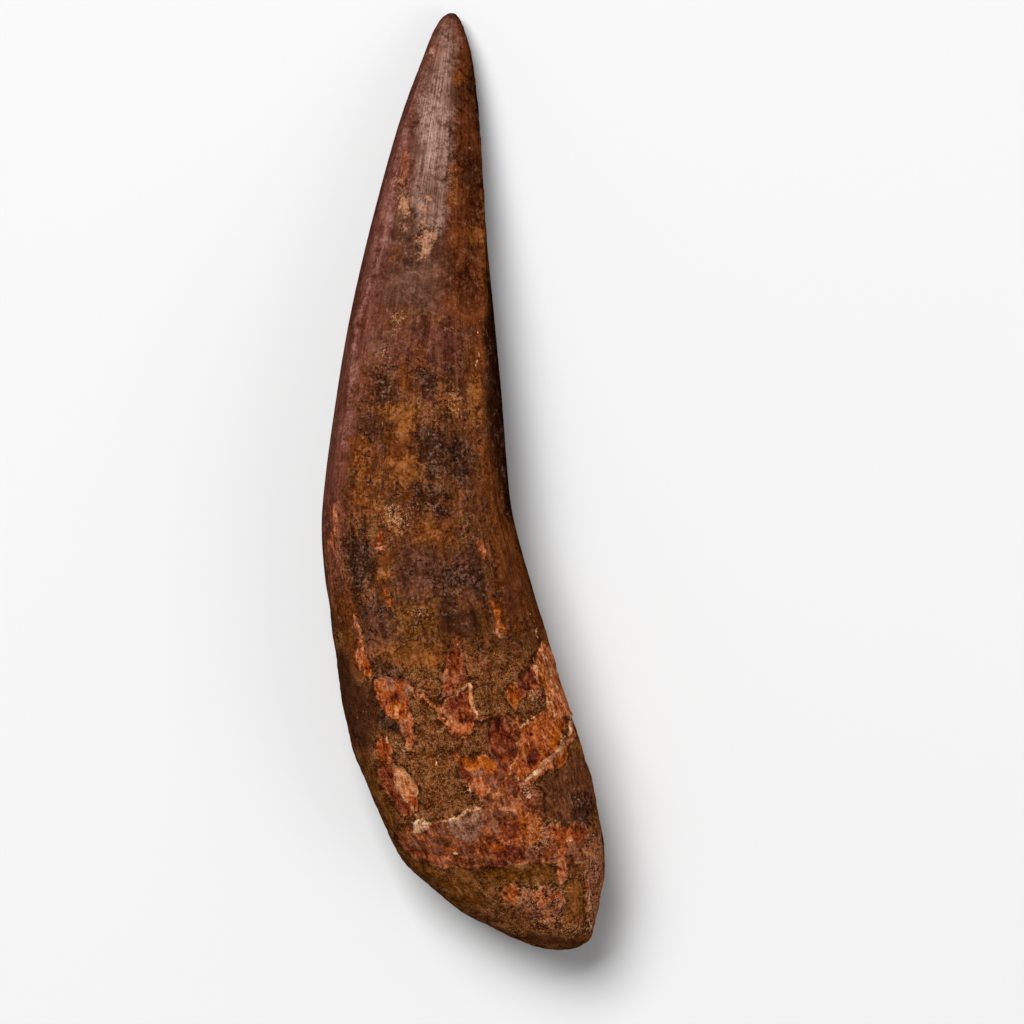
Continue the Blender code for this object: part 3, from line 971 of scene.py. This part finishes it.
class FossilFinish(Shader):
    """Satin enamel, worn and stained through to ochre, and a sandy root crust with flake scars."""

    def __init__(self, shape):
        super().__init__("fossil_finish")
        self.shape = shape
        metres = self.node("ShaderNodeTexCoord", output=3)
        spot = self.spot = self.scaled(metres, (1 / MM, 1 / MM, 1 / MM))
        wrapped = self.stored("wrapped", vector=True)
        lengthwise = self.scaled(wrapped, (1.0, 1.0, 0.07))
        self.dust = self.noise(spot, 0.20, 2.0, 0.7)
        self.grain = self.noise(spot, 0.50, 3.0, 0.7)
        self.mottle = self.noise(spot, 1.7, 4.0, 0.65, 0.4)
        self.cloud = self.noise(spot, 6.0, 4.0)
        self.hair = self.noise(lengthwise, 0.30, 3.0, 0.7)
        self.streak = self.noise(lengthwise, 1.5, 4.0, 0.6, 0.6)
        self.fray = self.noise(self.scaled(wrapped, (1.0, 1.0, 0.25)), 0.45, 4.0, 0.7, 0.3)
        self.bits = self.noise(self.shifted(spot, self.grain, 0.4), 1.2, 4.0, 0.7)
        self.tint = self.noise(self.scaled(spot, (1.0, 0.8, 1.0)), 2.3, 5.0, 0.65)
        self.specks = self.mixed(grain=0.45, dust=0.55)
        self.across = self.stored("across")
        self.elevation = self.stored("elevation")

        breakup = self.swing(cloud=5.0, mottle=4.0, grain=2.0)
        self.worn = self.step(self.stored("worn") + breakup, 1.0, -1.0)
        self.root = self.step(self.stored("root") + breakup, 0.5, -0.5)
        self.torn = self.mottle * (1.0 - self.root * 0.7) + self.fray * self.root * 0.7
        self.edge = self.swing(grain=2.6, torn=3.0, dust=0.8)
        self.ledge = self.stored("mark_ledge") + self.edge * 0.3
        self.bone = self.step(self.ledge, 0.15, -0.15) * self.root

        self.shred = self.sharper(self.mixed(fray=0.35, grain=0.20, dust=0.12, mottle=0.33), 1.5)
        thread = self.sharper(self.mixed(hair=0.16, streak=0.20, grain=0.30, mottle=0.34), 1.5)
        silk = self.sharper(self.mixed(hair=0.30, streak=0.20, grain=0.26, mottle=0.24), 1.4)
        crown = thread * self.worn + silk * (1.0 - self.worn)
        self.fibre = self.shred * self.root + crown * (1.0 - self.root)

    def mixed(self, **shares):
        """The named patterns, added up by their shares."""
        first, *others = [getattr(self, name) * share for name, share in shares.items()]
        return sum(others, first)

    def swing(self, **reaches):
        """How far the named patterns swing from their middle, each times its reach, added up."""
        first, *others = [(getattr(self, name) - 0.5) * reach for name, reach in reaches.items()]
        return sum(others, first)

    def sharper(self, value, factor):
        """Mixed noise spread further from its middle."""
        return (value - 0.5) * factor + 0.5

    def enamel(self):
        """Brown enamel, purple by the convex edge and russet by the other."""
        satin = self.mixed(hair=0.12, streak=0.13, mottle=0.28, grain=0.22, cloud=0.25)
        brown = self.ramp(self.sharper(satin, 1.5), *toned(ENAMEL, self.shape.enamel))
        purple = self.ramp(self.sharper(satin, 1.3), *PURPLE_ENAMEL)
        rough = self.mixed(streak=0.12, hair=0.10, mottle=0.27, grain=0.23, cloud=0.28)
        russet = self.ramp(self.sharper(rough, 1.5), *RUSSET_ENAMEL)
        place = self.across + self.swing(streak=0.4, cloud=0.5)
        colour = self.mix(self.step(place, -0.50, -0.80), brown, purple)
        return self.mix(self.step(place, 0.10, 0.50), colour, russet)

    def worn_and_sand(self, colour):
        """Ochre and brown grains where the enamel is worn through, and sand over the root."""
        freckle = self.noise(self.spot, 0.38, 2.0, 0.7)
        redder = self.step(self.tint * 0.5 + freckle * 0.5, 0.44, 0.56)
        ground = self.mixed(streak=0.22, hair=0.16, mottle=0.18, grain=0.26, dust=0.18)
        ground = self.sharper(ground, 1.6)
        sand = self.sharper(self.mixed(grain=0.28, dust=0.42, mottle=0.30), 1.7)
        for where, pattern, plain, red in (
            (self.worn, ground, toned(WORN, self.shape.worn), WORN_RED),
            (self.root, sand, toned(SAND, self.shape.sand), SAND_RED),
        ):
            grains = self.mix(redder, self.ramp(pattern, *plain), self.ramp(pattern, *red))
            colour = self.mix(where, colour, grains)
        return colour

    def marks(self, colour):
        """Each kind of mark, laid over the kinds before it."""
        for finish, (colours, solid, reach, soft, ragged) in MARK_FINISHES.items():
            inside = self.line(self.stored("mark_" + finish), -reach, reach, solid, -1.0)
            amount = self.step(inside + self.edge * ragged, -soft, soft)
            colour = self.mix(amount, colour, self.ramp(self.fibre, *colours))
        return colour

    def scars(self, colour):
        """Broken bone of mixed reds, with a pale rim and a dark gap round it, whose darkness is a painted
        shadow of the ledge.
        """
        mixed = self.bone * self.step(self.stored("mark_lilac"), -0.4, 0.2)
        mixed = mixed * self.step(self.stored("mark_peach"), -0.4, 0.2)
        for amount, colours in (
            (self.step(self.tint, 0.47, 0.41) * 0.4, RED),
            (self.step(self.bits, 0.46, 0.41) * 0.5, ORANGE),
            (self.step(self.bits, 0.56, 0.60) * 0.35, MAROON),
        ):
            colour = self.mix(mixed * amount, colour, self.ramp(self.fibre, *colours))
        broken = self.step(self.mixed(mottle=0.6, grain=0.4), 0.46, 0.54)
        rim = self.step(self.ledge, -0.50, -0.15) * self.bone * broken
        colour = self.mix(rim * 0.5, colour, self.ramp(self.fibre, *PALE))
        around = self.step(self.ledge, -0.05, 0.15) * self.step(self.ledge, 0.6, 0.3)
        # painted shadow: the gap round each flake is darkened as if the ledge cast shade
        self.gap = around * self.root * (1.0 - broken)
        return self.mix(self.gap * 0.6, colour, UMBER[0])

    def warmed(self, colour):
        """Grains that lean to yellow or to pink, most of all on the root."""
        pattern = self.noise(self.spot, 0.28, 2.0, 0.7)
        warmth = self.ramp(pattern, (1.0, 0.82, 0.45), (1, 1, 1), (1.0, 1.08, 1.25))
        return self.mix(0.4 + self.root * 0.6, colour, self.mix(1.0, colour, warmth, "MULTIPLY"))

    def crust(self, colour):
        """Beads of black crust with dark gaps and painted highlights on their tops, and smut that is
        thickest round them.
        """
        near_crust = self.stored("mark_crust")
        crusty = self.step(near_crust + self.edge * 2.6, 0.9, -0.9) * 0.75
        scab = self.step(self.mixed(cloud=0.4, mottle=0.6), 0.53, 0.61)
        scab = scab * self.worn * (1.0 - self.root) * 0.7
        self.crusty = crusty + scab * (1.0 - crusty)
        self.beads = self.cells(self.shifted(self.spot, self.grain, 0.5), 0.50)
        density = self.line(near_crust, -0.4, 2.5, 0.475, 0.435)
        smut = self.step(self.specks - density, 0.03, -0.05)
        smut = smut * self.line(self.worn + self.root * 0.3, 0.0, 1.0, 0.0, 0.4)
        colour = self.mix(smut, colour, self.ramp(self.dust, *CRUST))
        gaps = self.step(self.beads + self.swing(dust=0.6), 0.44, 0.54)
        colour = self.mix(self.crusty * gaps * 0.8, colour, CRUST[0])
        painted_tops = self.step(self.beads + self.swing(dust=0.8), 0.22, 0.12)
        painted_tops = painted_tops * self.step(self.grain, 0.48, 0.54)
        return self.mix(self.crusty * painted_tops * 0.8, colour, PAINTED_GLINT)

    def crazing(self, colour):
        """Fine cracks of the worn middle: dark furrows, each with a painted highlight on a bank beside it.
        """
        waves = self.noise(self.shifted(self.spot, self.grain, 0.6), 3.0, 3.0, 0.6)
        furrow = self.step(waves, 0.468, 0.492) * self.step(waves, 0.532, 0.508)
        painted_bank = self.step(waves, 0.530, 0.540) * self.step(waves, 0.560, 0.545)
        groups = self.step(self.mixed(cloud=0.5, mottle=0.5), 0.47, 0.53)
        crazed = self.step(self.bits, 0.43, 0.50) * groups
        crazed = crazed * self.step(self.stored("mark_ochre"), -0.8, 0.2)
        crazed = crazed * self.worn * (1.0 - self.root)
        colour = self.mix(furrow * crazed * 0.9, colour, CRUST[0])
        return self.mix(painted_bank * crazed * self.step(self.grain, 0.48, 0.56) * 0.6, colour, PAINTED_GLINT)

    def flecks(self, colour):
        """Pale flecks, partly pale grains and partly painted glints, thickest where the flecks are drawn,
        and dark pits.
        """
        light = self.line(self.stored("mark_fleck"), -0.8, 1.0, 0.530, 0.63)
        grains_and_glints = self.step(self.specks - light, 0.0, 0.04)
        grains_and_glints = grains_and_glints * self.line(self.worn + self.root, 0.0, 1.0, 0.25, 0.75)
        colour = self.mix(grains_and_glints, colour, CREAM[1])
        pits = self.step(self.stored("pits") + (self.grain - 0.5), 0.35, 0.8)
        return self.mix(pits * 0.4, colour, UMBER[0])

    def painted_rim_shade(self, colour):
        """Painted shade: darker toward the widest line, but hardly on the root's concave side, which is
        painted as lit.
        """
        painted_lit_side = self.step(self.across, 0.2, 0.6) * self.root
        height = self.elevation + self.swing(streak=0.4)
        shade = self.line(height, 0.0, 0.42, PAINTED_RIM_SHADE + painted_lit_side * (1.0 - PAINTED_RIM_SHADE), 1.0)
        shade = self.node("ShaderNodeCombineColor", None, {0: shade, 1: shade, 2: shade})
        return self.mix(1.0, colour, shade, "MULTIPLY")

    def gloss(self):
        """A dull skin, with a faint polish over the enamel and most of it where the sheen of light is
        painted.
        """
        self.feed(self.surface["Roughness"], 0.55 + self.root * 0.15 + self.swing(grain=0.3))
        sheen = self.step(self.stored("mark_sheen"), 2.5, -1.5)
        polish = (0.02 + sheen * 0.07) * (1.0 - self.root) * (1.0 - self.worn * 0.5)
        polish = polish * self.line(self.mixed(grain=0.5, mottle=0.5), 0.42, 0.58, 0.2, 1.0)
        polish = polish * self.line(self.elevation, 0.3, 0.6, 0.0, 1.0)
        self.feed(self.surface["Coat Weight"], polish)
        self.surface["Coat Roughness"].default_value = 0.28
        self.surface["Specular IOR Level"].default_value = 0.0

    def relief(self):
        """Relief that is finer than the mesh: grains, fibres, beads and the gaps round flakes."""
        coarse = self.root * 0.40 + self.worn * 0.25 + 0.04
        height = self.dust * 0.09 + self.grain * coarse + self.hair * 0.05
        height = height + self.mottle * self.root * 0.6 + self.bone * self.shred * 0.15
        height = height + self.crusty * self.line(self.beads, 0.1, 0.7, 0.2, 0.0) - self.gap * 0.12
        bump = self.node("ShaderNodeBump", None, {"Strength": 1.0, "Distance": MM, "Height": height})
        self.feed(self.surface["Normal"], bump)


def fossil_finish(shape):
    """The fossil's material, laid on from the enamel up."""
    made = FossilFinish(shape)
    colour = made.enamel()
    for layer in (
        made.worn_and_sand, made.marks, made.scars, made.warmed, made.crust, made.crazing, made.flecks,
        made.painted_rim_shade,
    ):
        colour = layer(colour)
    made.feed(made.surface["Base Color"], colour)
    made.gloss()
    made.relief()
    return made.material


def floor_finish(colour):
    """A pale, dull floor with a hardly visible cloud."""
    made = Shader("pale_floor")
    metres = made.node("ShaderNodeTexCoord", output=3)
    cloud = made.noise(metres, 0.4, 3.0)
    made.feed(made.surface["Base Color"], made.ramp(cloud, colour, [level * 0.985 for level in colour]))
    made.surface["Roughness"].default_value = 0.7
    return made.material


class OBJECT_OT_fossil_tooth(bpy.types.Operator):
    """Builds the tooth's carved and coloured skin over its plain solid"""

    bl_idname = "object.fossil_tooth_add"
    bl_label = "Add Fossil Tooth"

    def execute(self, context):
        shape = context.scene.fossil_shape
        piece = copied_solid()
        refine(piece, shape)
        carve(piece, shape)
        piece.data.materials.append(fossil_finish(shape))
        only(piece)
        bpy.ops.object.shade_smooth()
        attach(piece, "root")
        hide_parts(SOLID)
        return {"FINISHED"}


# ---- The stage ----------------------------------------------------------------------------------


def soft_light(name, place, width, power):
    """A square lamp that is aimed at the middle of the floor."""
    bpy.ops.object.light_add(type="AREA", location=place)
    lamp = bpy.context.object
    lamp.name = name
    lamp.data.shape = "RECTANGLE"
    lamp.data.size = lamp.data.size_y = width
    lamp.data.energy = power
    lamp.rotation_euler = (-Vector(place)).to_track_quat("-Z", "Y").to_euler()


class OBJECT_OT_fossil_stage(bpy.types.Operator):
    """Adds the pale floor, the soft lights and the camera that looks straight down"""

    bl_idname = "object.fossil_stage_add"
    bl_label = "Add Stage"

    def execute(self, context):
        scene = context.scene
        stage = scene.fossil_stage
        bpy.ops.object.select_all(action="DESELECT")
        bpy.ops.mesh.primitive_plane_add(size=6.0, location=(0, 0, 0))
        floor = context.object
        floor.name = "floor"
        floor.data.materials.append(floor_finish(stage.floor))
        soft_light("key_light", (-0.95, 1.35, 2.70), 1.7, stage.key_power)
        soft_light("fill_light", (1.60, -0.60, 1.60), 1.2, stage.fill_power)
        scene.world = bpy.data.worlds.new("room")
        scene.world.use_nodes = True
        room = scene.world.node_tree.nodes["Background"]
        room.inputs["Color"].default_value = (1.0, 1.0, 1.0, 1.0)
        room.inputs["Strength"].default_value = stage.world_level
        scene.view_settings.view_transform = "Standard"

        middle = Vector(FRAME_CENTRE) * MM
        bpy.ops.object.camera_add(location=(middle.x, middle.y, stage.distance), rotation=(0, 0, 0))
        camera = context.object
        camera.name = "camera"
        camera.data.sensor_width = SENSOR
        camera.data.lens = SENSOR * (stage.distance - middle.z) / stage.frame_width
        camera.data.clip_end = 20.0
        scene.camera = camera
        return {"FINISHED"}


class VIEW3D_PT_fossil(bpy.types.Panel):
    """Lists what the add-on makes, with its sizes and colours"""

    bl_idname = "VIEW3D_PT_fossil"
    bl_label = "Fossil Tooth"
    bl_space_type = "VIEW_3D"
    bl_region_type = "UI"
    bl_category = "Fossil"

    def draw(self, context):
        scene = context.scene
        for group, operator in (
            (scene.fossil_shape, OBJECT_OT_fossil_tooth), (scene.fossil_stage, OBJECT_OT_fossil_stage),
        ):
            for name in group.__annotations__:
                self.layout.prop(group, name)
            self.layout.operator(operator.bl_idname)


CLASSES = (
    FossilShape, FossilStage, OBJECT_OT_fossil_tooth, OBJECT_OT_fossil_stage, VIEW3D_PT_fossil,
)


def register():
    for item in CLASSES:
        bpy.utils.register_class(item)
    bpy.types.Scene.fossil_shape = bpy.props.PointerProperty(type=FossilShape)
    bpy.types.Scene.fossil_stage = bpy.props.PointerProperty(type=FossilStage)


def unregister():
    del bpy.types.Scene.fossil_shape
    del bpy.types.Scene.fossil_stage
    for item in reversed(CLASSES):
        bpy.utils.unregister_class(item)


def main():
    register()
    bpy.ops.object.fossil_tooth_add()
    bpy.ops.object.fossil_stage_add()


if __name__ == "__main__":
    main()
